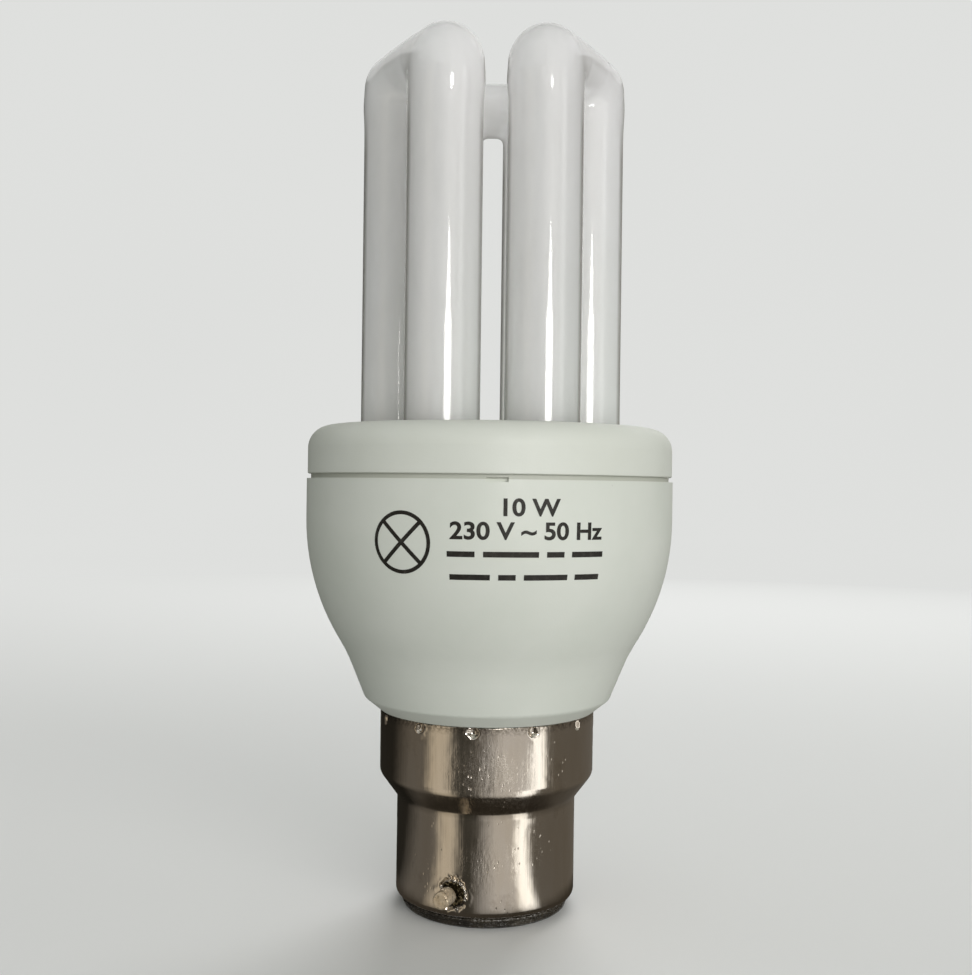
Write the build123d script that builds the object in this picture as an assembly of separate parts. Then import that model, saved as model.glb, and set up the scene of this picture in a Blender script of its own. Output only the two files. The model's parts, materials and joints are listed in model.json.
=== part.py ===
from build123d import *

import os
from math import cos, hypot, radians, sin, tan, atan2

# A stick compact fluorescent bulb with a two-pin bayonet cap, in millimetres.
# The origin is the middle of the insulator's foot, +Z runs up the lamp's axis and
# -Y is the side that faces the viewer.

# Fits between pieces
fit_gap = 0.05
slide_gap = 0.15
snap_gap = 0.3

# Bayonet cap, drawn from sheet metal
barrel_diameter = 22.0
skirt_diameter = 26.36
cap_sheet = 0.35
cap_height = 22.7
skirt_height = 7.75
taper_height = 2.95
taper_rounding = 1.3
lip_rounding = 0.7
lip_width = 0.85

# Crimp dents punched into the skirt just under its rim
crimp_count = 12
crimp_turn = -96.0
crimp_drop = 0.7
crimp_radius = 0.55
crimp_tip_radius = 0.2
crimp_depth = 0.55

# Bayonet pins, on one diameter of the barrel
pin_diameter = 2.0
pin_reach = 13.3
pin_height = 3.9
pin_direction = -112.4
pin_rounding = 0.25
pin_tail_diameter = 1.2
pin_root_gap = 0.1
pin_head_radius = 1.3
pin_head_height = 0.35

# Insulator of black glass and the contacts in it
foot_height = 1.3
foot_rim_width = 1.4
foot_hollow = 0.5
foot_rounding = 0.25
flange_height = 0.65
flange_margin = 0.3
flange_rounding = 0.2
core_radius = 8.3
core_height = 3.1
core_rounding = 0.6
barrier_width = 2.0
barrier_drop = 0.15
contact_spacing = 10.8
contact_radius = 2.7
contact_thickness = 0.5
contact_proud = 0.15
eyelet_radius = 1.2
eyelet_bore_radius = 0.65
eyelet_stand = 0.15
solder_radius = 1.9
solder_face_radius = 1.3
solder_height = 0.25

# Lower housing: a bowl with a neck that goes into the cap
housing_diameter = 45.0
housing_height = 28.0
housing_wall = 1.4
shoulder_height = 15.5
shoulder_rounding = 28.0
waist_radius = 17.4
waist_height = 6.9
waist_rounding = 20.0
collar_radius = 15.2
collar_height = 1.5
collar_rounding = 0.8
collar_step = 0.15
neck_depth = 7.0
neck_wall = 1.5
throat_height = 1.6
board_height = 20.0
rib_count = 4
rib_turn = 45.0
rib_width = 1.6
rib_depth = 2.2
rib_height = 7.0
snap_drop = 3.4
snap_height = 1.4
snap_depth = 0.6
rim_lip_width = 0.9
release_width = 2.4
release_depth = 0.25
release_offset = 0.8

# Upper cover, which plugs into the bowl
cover_setback = 0.1
cover_height = 5.85
cover_rounding = 2.7
cover_edge_rounding = 0.2
cover_plate = 1.8
cover_wall = 1.6
seam_height = 0.55
plug_wall = 1.3
lug_width = 5.0
lug_height = 0.85
dam_wall = 1.2
dam_height = 6.1

# Discharge tube: three U-bent tubes in a ring of six legs
leg_diameter = 8.86
leg_circle_radius = 11.65
leg_turn = 1.0
tube_height = 46.3
tube_depth = 10.0
bridge_depth = 6.8
bridge_width = 8.4
bridge_drop = 0.05
leg_end_rounding = 3.0
stub_radius = 1.7
cement_thickness = 4.6

# Circuit board and what joins it to the tube and to the cap
board_thickness = 1.6
post_diameter = 1.0
post_height = 3.2
post_tail = 0.6
post_margin = 1.75
post_spread = 7.0
lead_diameter = 0.45
lead_spread = 1.6
lead_drop = 1.2
lead_bend = 0.6
wrap_height = 1.35
supply_diameter = 1.2
supply_core_diameter = 0.8
supply_side = -2.2
supply_spread = 3.0
supply_rise = 9.0
supply_bend = 5.0
supply_bend_height = 21.0

# Parts that hang under the board: turn about the axis and distance from it
part_clearance = 0.7
pin_wire_diameter = 0.7
choke_distance = 9.5
choke_width = 13.2
choke_thickness = 6.0
choke_height = 12.4
choke_limb = 3.4
bobbin_wall = 0.5
winding_thickness = 1.9
can_distance = 5.2
can_diameter = 10.0
can_height = 17.0
can_rounding = 0.6
can_pitch = 4.0
ring_turn = 72.0
ring_distance = 12.0
ring_diameter = 9.4
ring_hole_diameter = 5.0
ring_height = 4.6
ring_winding_thickness = 0.45
ring_winding_width = 2.6
ring_winding_count = 3
drum_turn = 232.0
drum_distance = 12.9
drum_diameter = 6.0
drum_height = 7.5
drum_flange = 1.0
drum_hub_diameter = 2.6
drum_pitch = 3.0
drum_winding_diameter = 5.2
film_width = 9.0
film_depth = 4.5
film_height = 9.0
film_distance = 12.6
film_rounding = 0.6
film_pitch = 6.0
resonant_turn = 270.0
coupling_turn = 320.0
start_turn = 122.0
start_width = 6.0
start_depth = 3.0
start_height = 6.5
start_pitch = 4.0
transistor_turns = (9.0, 32.0)
transistor_distance = 14.0
transistor_diameter = 4.6
transistor_height = 4.7
transistor_flat = 1.3
transistor_pitch = 1.3
fuse_turn = 346.0
fuse_distance = 15.0
fuse_diameter = 3.2
fuse_length = 7.0
fuse_rounding = 0.5
fuse_pitch = 3.2

# Small parts that lie on the board's top
diode_diameter = 2.3
diode_length = 4.4
diode_pitch = 7.4
diode_spacing = 3.2
diode_count = 4
diode_wire_diameter = 0.6
trigger_turn = 104.0
resistor_turn = 80.0
small_diameter = 1.9
small_length = 3.6
small_pitch = 6.0
small_margin = 1.2
lying_rounding = 0.25

# Where a cylinder stands against its own origin
UPWARDS = (Align.CENTER, Align.CENTER, Align.MIN)
DOWNWARDS = (Align.CENTER, Align.CENTER, Align.MAX)

# Heights and radii that follow from the sizes above
barrel_radius = barrel_diameter / 2
skirt_radius = skirt_diameter / 2
metal_foot = foot_height
cap_rim = metal_foot + cap_height
taper_top = cap_rim - skirt_height
taper_foot = taper_top - taper_height
lip_radius = barrel_radius - lip_width
bowl_radius = housing_diameter / 2
cover_radius = bowl_radius - cover_setback
bowl_top = cap_rim + housing_height
bowl_cavity_radius = bowl_radius - housing_wall
cover_foot = bowl_top + seam_height
cover_top = cover_foot + cover_height
plate_foot = cover_top - cover_plate
plug_radius = bowl_cavity_radius - snap_gap
plug_bore_radius = plug_radius - plug_wall
post_circle_radius = plug_bore_radius - post_margin
neck_radius = skirt_radius - cap_sheet - slide_gap
neck_bore_radius = neck_radius - neck_wall
board_foot = cap_rim + board_height
board_top = board_foot + board_thickness
board_radius = plug_radius - snap_gap
leg_radius = leg_diameter / 2
leg_foot = cover_top - tube_depth
dome_height = cover_top + tube_height - leg_radius
bridge_level = cover_top + tube_height - bridge_drop - bridge_depth / 2
dam_bore_radius = leg_circle_radius + leg_radius + dam_wall
cement_foot = plate_foot - cement_thickness
stub_level = cement_foot + cement_thickness / 2
crimp_level = cap_rim - crimp_drop
contact_turn = pin_direction + 90
contact_face = foot_hollow - contact_proud
flange_foot = metal_foot + cap_sheet + fit_gap
eyelet_top = flange_foot + core_height + eyelet_stand
snap_top = bowl_top - snap_drop + snap_height


def polar(distance, turn, height=0.0):
    """Point at a distance from the lamp's axis, a turn about it in degrees and a height."""
    return Vector(distance * cos(radians(turn)), distance * sin(radians(turn)), height)


def fitted_roundings(corners):
    """Corner roundings of a closed outline, held to what its straight sides leave room for."""
    count = len(corners)
    reach = []
    for index, (r, z, rounding) in enumerate(corners):
        before = corners[index - 1]
        after = corners[(index + 1) % count]
        turn = atan2(z - before[1], r - before[0]) - atan2(after[1] - z, after[0] - r)
        half = abs((turn + radians(180)) % radians(360) - radians(180)) / 2
        reach.append((rounding, rounding * tan(half)))
    fitted = []
    for index, (r, z, rounding) in enumerate(corners):
        share = 1.0
        for other in (index - 1, (index + 1) % count):
            side = hypot(r - corners[other][0], z - corners[other][1])
            wanted = reach[index][1] + reach[other][1]
            if wanted > 0:
                share = min(share, 0.96 * side / wanted)
        fitted.append(rounding * share)
    return fitted


def turned(*corners):
    """Solid of revolution about the lamp's axis from (radius, height, rounding) corners."""
    points = [(r, z) for r, z, rounding in corners]
    outline = FilletPolyline(*points, radius=fitted_roundings(corners), close=True)
    return revolve(Plane.XZ * make_face(outline), Axis.Z)


def disc(radius, foot, top):
    """Upright cylinder on the lamp's axis between two heights."""
    return Pos(0, 0, (foot + top) / 2) * Cylinder(radius, top - foot)


def around(solid, count, first_turn):
    """Copies of a solid, evenly turned about the lamp's axis."""
    return [Rot(0, 0, first_turn + 360 / count * index) * solid for index in range(count)]


def radial(solid, distance, turn, height):
    """Put a solid that is made along +Z on a radius, with its own +Z pointing outwards."""
    place = polar(distance, turn, height)
    return Pos(*place) * Rot(0, 0, turn) * Rot(0, 90, 0) * solid


def wire(points, bends, diameter):
    """Round wire along straight runs joined by arcs."""
    path = FilletPolyline(*points, radius=bends)
    section = Plane(origin=path @ 0, z_dir=path % 0) * Circle(diameter / 2)
    return sweep(section, path=path)


def cap_profile(inset):
    """Corners of the cap's outside, or of its inside at the sheet's thickness."""
    inner_lip = max(lip_rounding - inset, 0.1)
    return (
        (0, metal_foot + inset, 0),
        (barrel_radius - inset, metal_foot + inset, inner_lip),
        (barrel_radius - inset, taper_foot, taper_rounding),
        (skirt_radius - inset, taper_top, taper_rounding),
        (skirt_radius - inset, cap_rim, 0),
        (0, cap_rim, 0),
    )


def crimp(radius, depth):
    """Blunt cone that a crimping punch makes, pointing inwards from the skirt's outside."""
    cone = Pos(0, 0, -depth / 2) * Cone(crimp_tip_radius, radius, depth)
    return radial(cone, skirt_radius, crimp_turn, crimp_level)


def pin_turns():
    """Directions of the two bayonet pins."""
    return (pin_direction, pin_direction + 180)


def make_cap_shell():
    """Drawn metal sleeve with a turned-in foot, pin holes and crimp dents."""
    shell = turned(*cap_profile(0)) - turned(*cap_profile(cap_sheet))
    shell -= disc(lip_radius, 0, metal_foot + 2 * cap_sheet)
    for turn in pin_turns():
        hole = Cylinder(pin_tail_diameter / 2 + fit_gap, 2 * pin_diameter)
        shell -= radial(hole, barrel_radius, turn, pin_height)
    bump = crimp(crimp_radius + cap_sheet, crimp_depth + cap_sheet)
    bump &= disc(skirt_radius - cap_sheet / 2, crimp_level - cap_height, cap_rim)
    shell += around(bump, crimp_count, 0)
    shell -= around(crimp(crimp_radius, crimp_depth), crimp_count, 0)
    return shell


def make_bayonet_pin(turn):
    """Solid pin with a rounded end outside, a thinner tail through the sheet and a riveted head inside."""
    head_face = barrel_radius - cap_sheet - 2 * fit_gap - pin_head_radius**2 / barrel_diameter
    root = barrel_radius + pin_root_gap
    pin = Cylinder(pin_diameter / 2, pin_reach - root, align=UPWARDS)
    pin = fillet(pin.edges().sort_by(Axis.Z)[-1], pin_rounding)
    tail = Cylinder(pin_tail_diameter / 2, root - head_face, align=DOWNWARDS)
    head = Cylinder(pin_head_radius, pin_head_height, align=DOWNWARDS)
    head = Pos(0, 0, head_face - root) * head
    return radial(pin + tail + head, root, turn, pin_height)


def contact_places():
    """Middles of the two contacts, on a line square to the pins."""
    return [polar(contact_spacing / 2, contact_turn + half) for half in (0, 180)]


def make_cap_insulator():
    """Moulded black glass foot with a flange behind the metal and wells for the contacts."""
    foot_radius = lip_radius - fit_gap
    flange_radius = barrel_radius - cap_sheet - flange_margin
    body = turned(
        (0, 0, 0),
        (foot_radius, 0, foot_rounding),
        (foot_radius, flange_foot, 0),
        (flange_radius, flange_foot, 0),
        (flange_radius, flange_foot + flange_height, flange_rounding),
        (core_radius, flange_foot + flange_height, 0),
        (core_radius, flange_foot + core_height, core_rounding),
        (0, flange_foot + core_height, 0),
    )
    body -= disc(foot_radius - foot_rim_width, -foot_height, foot_hollow)
    barrier = Box(barrier_width, 2 * (foot_radius - foot_rim_width / 2), foot_hollow - barrier_drop)
    barrier = Pos(0, 0, barrier_drop + (foot_hollow - barrier_drop) / 2) * barrier
    body += Rot(0, 0, contact_turn) * barrier
    well_top = contact_face + contact_thickness
    for place in contact_places():
        body -= Pos(place) * disc(contact_radius + fit_gap, 0, well_top)
        body -= Pos(place) * disc(eyelet_radius + fit_gap, 0, flange_foot + 2 * core_height)
    return body


def make_contact_plate(place):
    """Brass disc with an eyelet that carries the supply lead through the glass."""
    plate = disc(contact_radius, contact_face, contact_face + contact_thickness)
    plate += disc(eyelet_radius, contact_face, eyelet_top)
    plate -= disc(eyelet_bore_radius, 0, 2 * eyelet_top)
    return Pos(place) * plate


def make_contact_solder(place):
    """Flat drop of solder under the eyelet."""
    drop = turned(
        (0, contact_face - solder_height, 0),
        (solder_face_radius, contact_face - solder_height, solder_height / 2),
        (solder_radius, contact_face, 0),
        (0, contact_face, 0),
    )
    return Pos(place) * drop


def bowl_profile(inset, foot, top):
    """Corners of the bowl's outside from the cap's rim up, or of its inside."""
    return (
        (collar_radius - inset, foot, collar_rounding),
        (waist_radius - inset, cap_rim + waist_height, waist_rounding),
        (bowl_radius - inset, cap_rim + shoulder_height, shoulder_rounding),
        (bowl_radius - inset, top, 0),
    )


def make_rib():
    """Upright rib inside the bowl that the board rests on."""
    inner = board_radius - rib_depth
    length = bowl_cavity_radius + housing_wall / 2 - inner
    rib = Box(length, rib_width, rib_height, align=(Align.MIN, Align.CENTER, Align.MAX))
    return Pos(inner, 0, board_foot) * rib


def make_lower_housing():
    """Moulded bowl with a neck, board ribs, a snap groove and a release slot."""
    outside = turned(
        (0, cap_rim, 0),
        (skirt_radius + collar_step, cap_rim, 0),
        *bowl_profile(0, cap_rim + collar_height, bowl_top),
        (0, bowl_top, 0),
    )
    housing = outside + disc(bowl_cavity_radius + rim_lip_width, bowl_top - seam_height, cover_foot)
    housing += disc(neck_radius, cap_rim - neck_depth, cap_rim + collar_height)
    housing -= turned(
        (0, cap_rim + throat_height, 0),
        *bowl_profile(housing_wall, cap_rim + throat_height, cover_foot + seam_height),
        (0, cover_foot + seam_height, 0),
    )
    housing -= disc(neck_bore_radius, 0, cap_rim + waist_height)
    housing += [rib & outside for rib in around(make_rib(), rib_count, rib_turn)]
    housing -= disc(bowl_cavity_radius + snap_depth, snap_top - snap_height, snap_top)
    pocket = crimp(crimp_radius + cap_sheet + slide_gap, crimp_depth + cap_sheet + slide_gap)
    housing -= around(pocket, crimp_count, 0)
    release = Box(release_width, 2 * rim_lip_width, 2 * release_depth)
    return housing - Pos(release_offset, -bowl_radius, bowl_top) * release


def leg_places():
    """Middles of the six legs, seen from above."""
    return [polar(leg_circle_radius, leg_turn + 60 * index) for index in range(6)]


def make_upper_cover():
    """Moulded cover with six holes, a plug wall with snap lugs and a dam round the cement."""
    cover = turned(
        (0, cover_foot, 0),
        (cover_radius, cover_foot, cover_edge_rounding),
        (cover_radius, cover_top, cover_rounding),
        (0, cover_top, 0),
    )
    cover -= disc(cover_radius - cover_wall, 0, plate_foot)
    plug = disc(plug_radius, board_top, plate_foot) - disc(plug_bore_radius, 0, cover_top)
    web = disc(cover_radius - cover_wall / 2, cover_foot + seam_height, plate_foot)
    web -= disc(plug_bore_radius, 0, cover_top)
    dam = disc(dam_bore_radius + dam_wall, plate_foot - dam_height, plate_foot)
    dam -= disc(dam_bore_radius, 0, cover_top)
    cover += [plug, web, dam]
    lug_top = snap_top - snap_gap
    ring = disc(bowl_cavity_radius + snap_depth - snap_gap / 2, lug_top - lug_height, lug_top)
    ring -= disc(plug_radius - plug_wall / 2, 0, cover_top)
    sector = Pos(plug_radius, 0, lug_top) * Box(plug_wall + 4 * snap_depth, lug_width, 3 * lug_height)
    cover += [lug & ring for lug in around(sector, rib_count, rib_turn)]
    for place in leg_places():
        cover -= Pos(place) * disc(leg_radius + slide_gap, 0, 2 * cover_top)
    return cover


def make_leg():
    """One straight leg with a domed top and a rounded foot."""
    leg = disc(leg_radius, leg_foot, dome_height)
    leg = fillet(leg.edges().sort_by(Axis.Z)[0], leg_end_rounding)
    return leg + Pos(0, 0, dome_height) * Sphere(leg_radius)


def make_crossing(first, second, section, level):
    """Level glass tube that joins two legs; the X of its section stands upright."""
    run = second - first
    crossing = extrude(section, run.length)
    return Plane(origin=first + Vector(0, 0, level), x_dir=(0, 0, 1), z_dir=run) * crossing


def make_discharge_tube():
    """Three U-bent tubes, joined by two stubs low down: one sealed vessel."""
    places = leg_places()
    tube = Part() + [Pos(place) * make_leg() for place in places]
    bridge = Ellipse(bridge_depth / 2, bridge_width / 2)
    for first in (1, 3, 5):
        tube += make_crossing(places[first], places[(first + 1) % 6], bridge, bridge_level)
    for first in (0, 2):
        tube += make_crossing(places[first], places[first + 1], Circle(stub_radius), stub_level)
    return tube


def make_tube_cement():
    """Cement poured into the dam round the legs and stubs."""
    cement = disc(dam_bore_radius - fit_gap, cement_foot, plate_foot - fit_gap)
    places = leg_places()
    for place in places:
        cement -= Pos(place) * disc(leg_radius + fit_gap, 0, cover_top)
    stub = Circle(stub_radius + fit_gap)
    for first in (0, 2):
        cement -= make_crossing(places[first], places[first + 1], stub, stub_level)
    return cement


def lead_ends():
    """Turn of the leg and of the wire post for each of the four filament leads."""
    ends = []
    for leg_index in (4, 5):
        turn = leg_turn + 60 * leg_index
        for side in (-1, 1):
            ends.append((turn, side))
    return ends


def post_place(turn, side):
    """Middle of a wire post."""
    return polar(post_circle_radius, turn + side * post_spread)


def make_circuit_board():
    """Round board with a hole for each wire post."""
    board = disc(board_radius, board_foot, board_top)
    for turn, side in lead_ends():
        board -= Pos(post_place(turn, side)) * disc(post_diameter / 2 + fit_gap, 0, cover_top)
    return board


def make_wire_post(turn, side):
    """Pin through the board that a filament lead is wrapped round."""
    post = disc(post_diameter / 2, board_foot - post_tail, board_top + post_height)
    return Pos(post_place(turn, side)) * post


def make_filament_lead(turn, side):
    """Lead from the sealed foot of a leg to its turns round a post."""
    out = polar(1, turn)
    across = polar(1, turn + 90)
    start = out * leg_circle_radius + across * (side * lead_spread) + Vector(0, 0, leg_foot)
    level = leg_foot - lead_drop
    corner = Vector(start.X, start.Y, level)
    post = post_place(turn, side) + Vector(0, 0, level)
    away = (post - corner).normalized()
    end = post - away * (post_diameter / 2 + lead_diameter / 2)
    lead = wire([start, corner, end], [lead_bend], lead_diameter)
    turns = Cylinder(post_diameter / 2 + fit_gap + lead_diameter, wrap_height)
    turns -= Cylinder(post_diameter / 2 + fit_gap, 2 * wrap_height)
    return lead + Pos(post) * turns


def make_supply_lead(place, side):
    """Insulated lead from a contact's eyelet up through the neck to the board."""
    low = Vector(place.X, place.Y, eyelet_top + fit_gap)
    knee = low + Vector(0, 0, supply_rise)
    side_place = Vector(supply_side, side * supply_spread, 0)
    bend = side_place + Vector(0, 0, supply_bend_height)
    end = side_place + Vector(0, 0, board_foot)
    lead = wire([low, knee, bend, end], [supply_bend, supply_bend], supply_diameter)
    core = disc(supply_core_diameter / 2, contact_face, eyelet_top + 2 * supply_diameter)
    return lead + Pos(place) * core


def hung_wires(places, foot):
    """Short tinned wires from a part up to the board's underside."""
    return [Pos(x, y) * disc(pin_wire_diameter / 2, foot, board_foot) for x, y in places]


def hung_box(width, depth, height, pitch):
    """Moulded block under the board on two wires, its width along Y."""
    top = board_foot - part_clearance
    block = Pos(0, 0, top - height / 2) * Box(depth, width, height)
    block = fillet(block.edges().filter_by(Axis.Z), film_rounding)
    return block + hung_wires([(0, -pitch / 2), (0, pitch / 2)], top - film_rounding)


def placed(solid, distance, turn):
    """Put a part that is made on the lamp's axis at its place on the board."""
    return Pos(*polar(distance, turn)) * Rot(0, 0, turn) * solid


def make_smoothing_capacitor():
    """Electrolytic can hanging into the neck on its two wires."""
    top = board_foot - part_clearance
    can = turned(
        (0, top - can_height, 0),
        (can_diameter / 2, top - can_height, can_rounding),
        (can_diameter / 2, top, can_rounding),
        (0, top, 0),
    )
    wires = hung_wires([(0, -can_pitch / 2), (0, can_pitch / 2)], top - can_rounding)
    return placed(can + wires, can_distance, 0)


def choke_levels():
    """Top and foot of the lamp choke's core, clear of the board."""
    top = board_foot - 2 * part_clearance
    return top, top - choke_height


def make_lamp_choke_core():
    """Ferrite frame with a limb through the winding."""
    top, foot = choke_levels()
    middle = (top + foot) / 2
    frame = Pos(0, 0, middle) * Box(choke_thickness, choke_width, choke_height)
    window = Box(2 * choke_thickness, choke_width - choke_limb, choke_height - choke_limb)
    limb = Pos(0, 0, middle) * Cylinder(choke_limb / 2, choke_height)
    core = frame - Pos(0, 0, middle) * window + limb
    return placed(core, choke_distance, 180)


def choke_window():
    """Half width of the core's window, and the heights of its foot and top."""
    top, foot = choke_levels()
    half = (choke_width - choke_limb) / 2
    return half, foot + choke_limb / 2, top - choke_limb / 2


def make_lamp_choke_bobbin():
    """Moulded bobbin on the limb with a flange at each end and wires to the board."""
    half, foot, top = choke_window()
    flange_radius = half - slide_gap
    bobbin = disc(choke_limb / 2 + fit_gap + bobbin_wall, foot + fit_gap, top - fit_gap)
    bobbin += disc(flange_radius, foot + fit_gap, foot + fit_gap + bobbin_wall)
    bobbin += disc(flange_radius, top - fit_gap - bobbin_wall, top - fit_gap)
    bobbin -= disc(choke_limb / 2 + fit_gap, 0, cover_top)
    wire_side = choke_thickness / 2 + pin_wire_diameter
    bobbin += hung_wires([(-wire_side, 0), (wire_side, 0)], top - fit_gap - bobbin_wall)
    return placed(bobbin, choke_distance, 180)


def make_lamp_choke_winding():
    """Copper winding between the bobbin's flanges."""
    half, foot, top = choke_window()
    hub = choke_limb / 2 + 2 * fit_gap + bobbin_wall
    inner_foot = foot + 2 * fit_gap + bobbin_wall
    inner_top = top - 2 * fit_gap - bobbin_wall
    winding = disc(hub + winding_thickness, inner_foot, inner_top) - disc(hub, 0, cover_top)
    return placed(winding, choke_distance, 180)


def make_filter_choke_core():
    """Ferrite drum on end under the board."""
    top = board_foot - part_clearance
    foot = top - drum_height
    core = disc(drum_hub_diameter / 2, foot, top)
    core += disc(drum_diameter / 2, foot, foot + drum_flange)
    core += disc(drum_diameter / 2, top - drum_flange, top)
    core += hung_wires([(0, -drum_pitch / 2), (0, drum_pitch / 2)], top - drum_flange / 2)
    return placed(core, drum_distance, drum_turn)


def make_filter_choke_winding():
    """Copper winding between the drum's flanges."""
    top = board_foot - part_clearance - drum_flange - fit_gap
    foot = board_foot - part_clearance - drum_height + drum_flange + fit_gap
    winding = disc(drum_winding_diameter / 2, foot, top)
    winding -= disc(drum_hub_diameter / 2 + fit_gap, 0, cover_top)
    return placed(winding, drum_distance, drum_turn)


def ring_levels():
    """Foot and top of the drive transformer's core, with its windings clear of the board."""
    top = board_foot - part_clearance - ring_winding_thickness
    return top - ring_height, top


def make_drive_core():
    """Ferrite ring that the three drive windings pass through."""
    foot, top = ring_levels()
    core = disc(ring_diameter / 2, foot, top) - disc(ring_hole_diameter / 2, 0, cover_top)
    return placed(core, ring_distance, ring_turn)


def make_drive_winding(index):
    """A few turns of wire round the ring, with its two ends up to the board."""
    foot, top = ring_levels()
    middle = (ring_diameter + ring_hole_diameter) / 4
    width = (ring_diameter - ring_hole_diameter) / 2 + 2 * fit_gap
    height = ring_height + 2 * ring_winding_thickness
    outer = Box(width + 2 * ring_winding_thickness, ring_winding_width, height)
    ring_core = disc(ring_diameter / 2 + fit_gap, foot - fit_gap, top + fit_gap)
    ring_core -= disc(ring_hole_diameter / 2 - fit_gap, 0, cover_top)
    winding = Pos(middle, 0, (foot + top) / 2) * outer - ring_core
    wire_place = middle + ring_winding_width / 4
    winding += hung_wires([(middle, 0), (wire_place, 0)], top + ring_winding_thickness / 2)
    turn = 360 / ring_winding_count * index + 180 / ring_winding_count
    return placed(Rot(0, 0, turn) * winding, ring_distance, ring_turn)


def make_transistor(turn):
    """Moulded body with one flat side, on three wires."""
    top = board_foot - 3 * part_clearance
    body = disc(transistor_diameter / 2, top - transistor_height, top)
    flat = Box(transistor_diameter, 2 * transistor_diameter, 2 * transistor_height)
    body -= Pos(transistor_flat + transistor_diameter / 2, 0, top) * flat
    wires = [(0, step * transistor_pitch) for step in (-1, 0, 1)]
    return placed(body + hung_wires(wires, top - part_clearance), transistor_distance, turn)


def make_fusible_resistor():
    """Sleeved resistor on end, its lower wire bent back up to the board."""
    top = board_foot - 2 * part_clearance
    foot = top - fuse_length
    body = turned(
        (0, foot, 0),
        (fuse_diameter / 2, foot, fuse_rounding),
        (fuse_diameter / 2, top, fuse_rounding),
        (0, top, 0),
    )
    low = foot - 2 * pin_wire_diameter
    start = (0, 0, foot + part_clearance)
    path = [start, (0, 0, low), (-fuse_pitch, 0, low), (-fuse_pitch, 0, board_foot)]
    bend = pin_wire_diameter
    part = body + wire(path, [bend, bend], pin_wire_diameter)
    part += hung_wires([(0, 0)], top - part_clearance)
    return placed(part, fuse_distance, fuse_turn)


def make_lying_part(diameter, length, pitch, wire_diameter):
    """Axial part along Y on top of the board, both wires bent down to it."""
    level = board_top + diameter / 2 + fit_gap
    body = Pos(0, 0, level) * Rot(90, 0, 0) * Cylinder(diameter / 2, length)
    body = fillet(body.edges().filter_by(GeomType.CIRCLE), lying_rounding)
    half = pitch / 2
    path = [(0, -half, board_top), (0, -half, level), (0, half, level), (0, half, board_top)]
    return body + wire(path, [wire_diameter, wire_diameter], wire_diameter)


def make_rectifier_diode(index):
    """One of the four diodes that lie side by side in the middle of the board."""
    diode = make_lying_part(diode_diameter, diode_length, diode_pitch, diode_wire_diameter)
    return Pos((index - (diode_count - 1) / 2) * diode_spacing, 0, 0) * diode


def make_small_part(turn):
    """Small axial part that lies along the board's edge."""
    small = make_lying_part(small_diameter, small_length, small_pitch, lead_diameter)
    return placed(small, plug_bore_radius - small_margin - small_diameter / 2, turn)


def make_all():
    """Every piece by name."""
    pieces = {
        "discharge_tube": make_discharge_tube(),
        "tube_cement": make_tube_cement(),
        "upper_cover": make_upper_cover(),
        "lower_housing": make_lower_housing(),
        "cap_shell": make_cap_shell(),
        "cap_insulator": make_cap_insulator(),
        "circuit_board": make_circuit_board(),
        "smoothing_capacitor": make_smoothing_capacitor(),
        "lamp_choke_core": make_lamp_choke_core(),
        "lamp_choke_bobbin": make_lamp_choke_bobbin(),
        "lamp_choke_winding": make_lamp_choke_winding(),
        "filter_choke_core": make_filter_choke_core(),
        "filter_choke_winding": make_filter_choke_winding(),
        "drive_core": make_drive_core(),
        "fusible_resistor": make_fusible_resistor(),
        "trigger_diac": make_small_part(trigger_turn),
        "start_resistor": make_small_part(resistor_turn),
    }
    film = hung_box(film_width, film_depth, film_height, film_pitch)
    pieces["resonant_capacitor"] = placed(film, film_distance, resonant_turn)
    pieces["coupling_capacitor"] = placed(film, film_distance, coupling_turn)
    start = hung_box(start_width, start_depth, start_height, start_pitch)
    pieces["start_capacitor"] = placed(start, film_distance, start_turn)
    for name, turn in zip(("front", "back"), pin_turns()):
        pieces["bayonet_pin_" + name] = make_bayonet_pin(turn)
    for name, place, side in zip(("neutral", "live"), contact_places(), (-1, 1)):
        pieces["contact_plate_" + name] = make_contact_plate(place)
        pieces["contact_solder_" + name] = make_contact_solder(place)
        pieces["supply_lead_" + name] = make_supply_lead(place, side)
    for index, turn in enumerate(transistor_turns, 1):
        pieces[f"transistor_{index}"] = make_transistor(turn)
    for index in range(ring_winding_count):
        pieces[f"drive_winding_{index + 1}"] = make_drive_winding(index)
    for index in range(diode_count):
        pieces[f"rectifier_diode_{index + 1}"] = make_rectifier_diode(index)
    for index, (turn, side) in enumerate(lead_ends(), 1):
        pieces[f"wire_post_{index}"] = make_wire_post(turn, side)
        pieces[f"filament_lead_{index}"] = make_filament_lead(turn, side)
    return pieces


os.makedirs("parts", exist_ok=True)
for piece_name, piece in make_all().items():
    export_step(piece, f"parts/{piece_name}.step")
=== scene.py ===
import json
from math import acos, cos, pi, radians, sin, tan

import bmesh
import bpy
import numpy as np
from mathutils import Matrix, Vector
from mathutils.bvhtree import BVHTree


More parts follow.
